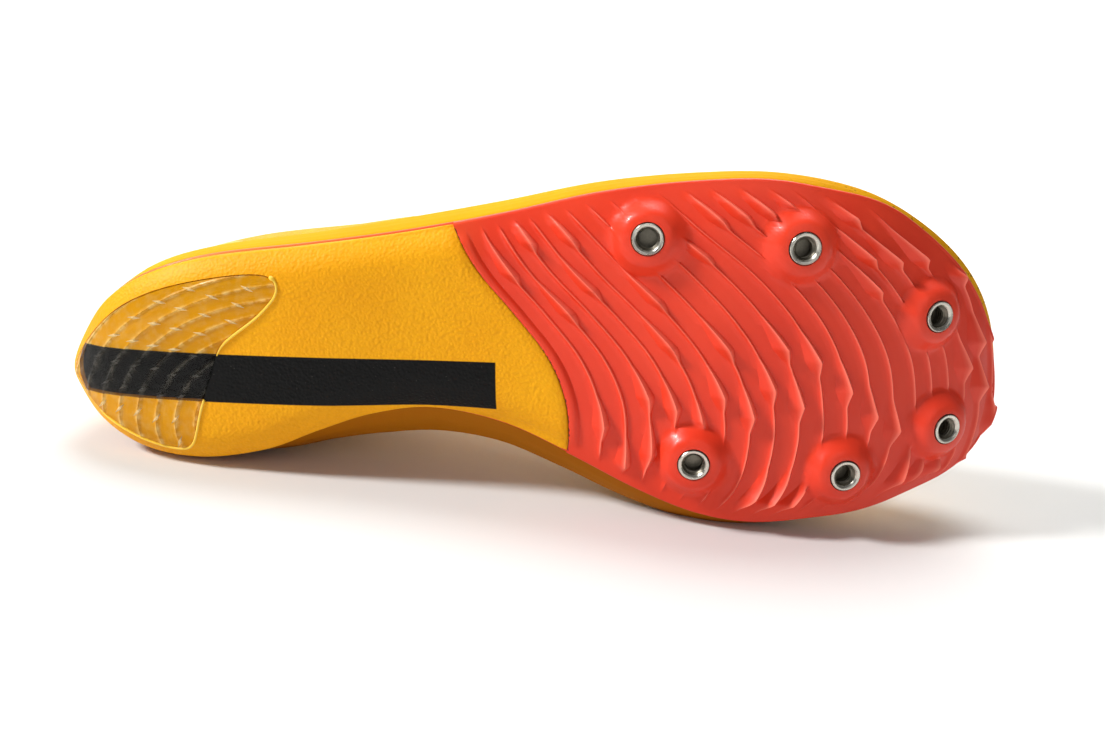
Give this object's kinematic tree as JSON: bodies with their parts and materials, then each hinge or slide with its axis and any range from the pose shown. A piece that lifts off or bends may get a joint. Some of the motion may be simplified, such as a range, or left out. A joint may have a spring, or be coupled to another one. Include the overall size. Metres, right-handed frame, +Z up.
{
  "type": "track spike shoe",
  "caption": "Right track spike shoe lying on its side: hollow mesh upper, foam midsole, ribbed forefoot plate with threaded spike receptacles, grained heel pad and clear heel tread.",
  "frame": {"origin": "centre of the bounding box in X and Y, on the floor that the shoe lies on", "axes": "+X runs from heel to toe, +Z is up and is the shoe's lateral side, -Y is the way the sole faces"},
  "size_m": [0.2832, 0.1016, 0.1042],
  "materials": {
    "upper_mesh": "fine engineered mesh",
    "tongue_mesh": "fine mesh, lightly padded",
    "eyestay_film": "thin bonded film, satin",
    "lace": "flat woven",
    "insole_cloth": "brushed knit over foam",
    "midsole_foam": "compression-moulded foam skin",
    "plate": "injection-moulded, semi-gloss",
    "heel_pad": "moulded with a pebbled grain",
    "heel_tread": "translucent, ribbed",
    "receptacle_steel": "turned"
  },
  "bodies": {
    "root": {"upper": "upper_mesh", "tongue": "tongue_mesh", "eyestay": "eyestay_film", "lace": "lace", "insole": "insole_cloth", "midsole": "midsole_foam", "plate": "plate", "heel_pad": "heel_pad", "heel_tread": "heel_tread", "receptacle_lateral_rear": "receptacle_steel", "receptacle_lateral_middle": "receptacle_steel", "receptacle_lateral_front": "receptacle_steel", "receptacle_medial_front": "receptacle_steel", "receptacle_medial_middle": "receptacle_steel", "receptacle_medial_rear": "receptacle_steel"}
  },
  "joints": []
}
